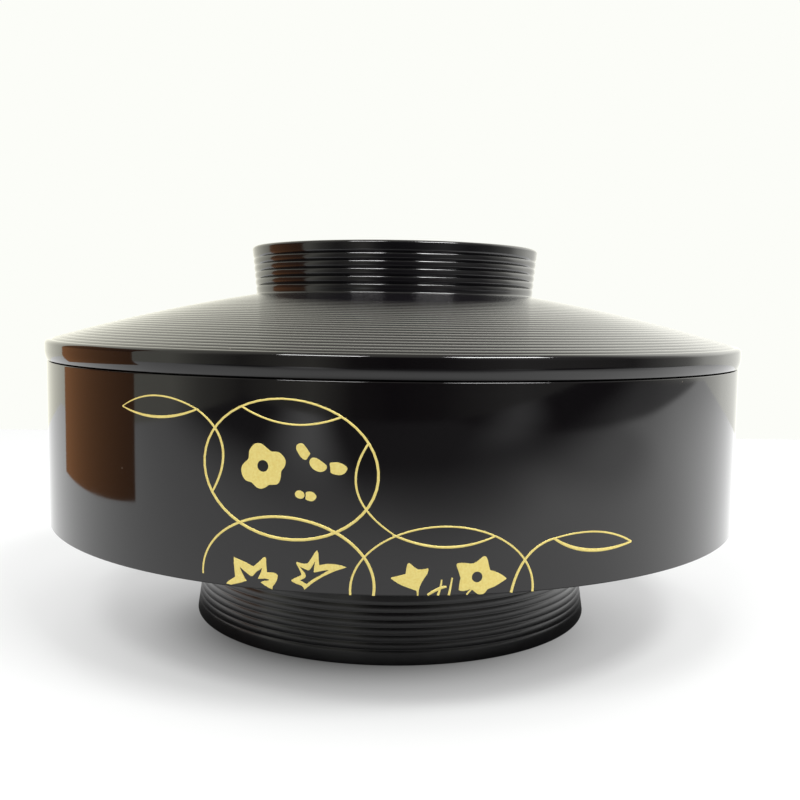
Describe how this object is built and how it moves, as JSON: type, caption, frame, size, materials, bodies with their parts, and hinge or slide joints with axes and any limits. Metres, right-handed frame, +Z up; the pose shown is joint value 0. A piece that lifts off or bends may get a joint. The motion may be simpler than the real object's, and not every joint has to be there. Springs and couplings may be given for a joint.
{
  "type": "lidded sweets bowl",
  "caption": "Round lacquer sweets bowl: a straight black drum on a flared ribbed foot, with a shallow domed, ribbed lid that lifts off by its ring-shaped knob.",
  "frame": {"origin": "on the table, on the turning axis, at the centre of the foot's resting face", "axes": "+Z up along the turning axis; -Y faces the viewer, where the gold ornament is"},
  "size_m": [0.212, 0.212, 0.1138],
  "materials": {
    "polished_lacquer": "black lacquer over wood, polished to a gloss",
    "ribbed_lacquer": "black lacquer over fine turned ribs, glossy",
    "inside_lacquer": "black lacquer over wood, soft gloss",
    "sprinkled_gold": "gold powder sprinkled on wet lacquer, satin"
  },
  "bodies": {
    "bowl": {"foot_ring": "ribbed_lacquer", "bowl_floor": "inside_lacquer", "bowl_wall": "polished_lacquer", "lip_ring": "inside_lacquer"},
    "lid": {"lid_rim": "polished_lacquer", "lid_board": "ribbed_lacquer", "knob_ring": "ribbed_lacquer"}
  },
  "joints": [
    {"name": "lid_lift", "type": "slide", "parent": "bowl", "child": "lid", "axis": [0, 0, 1], "range_m": [0, 0.12]}
  ]
}
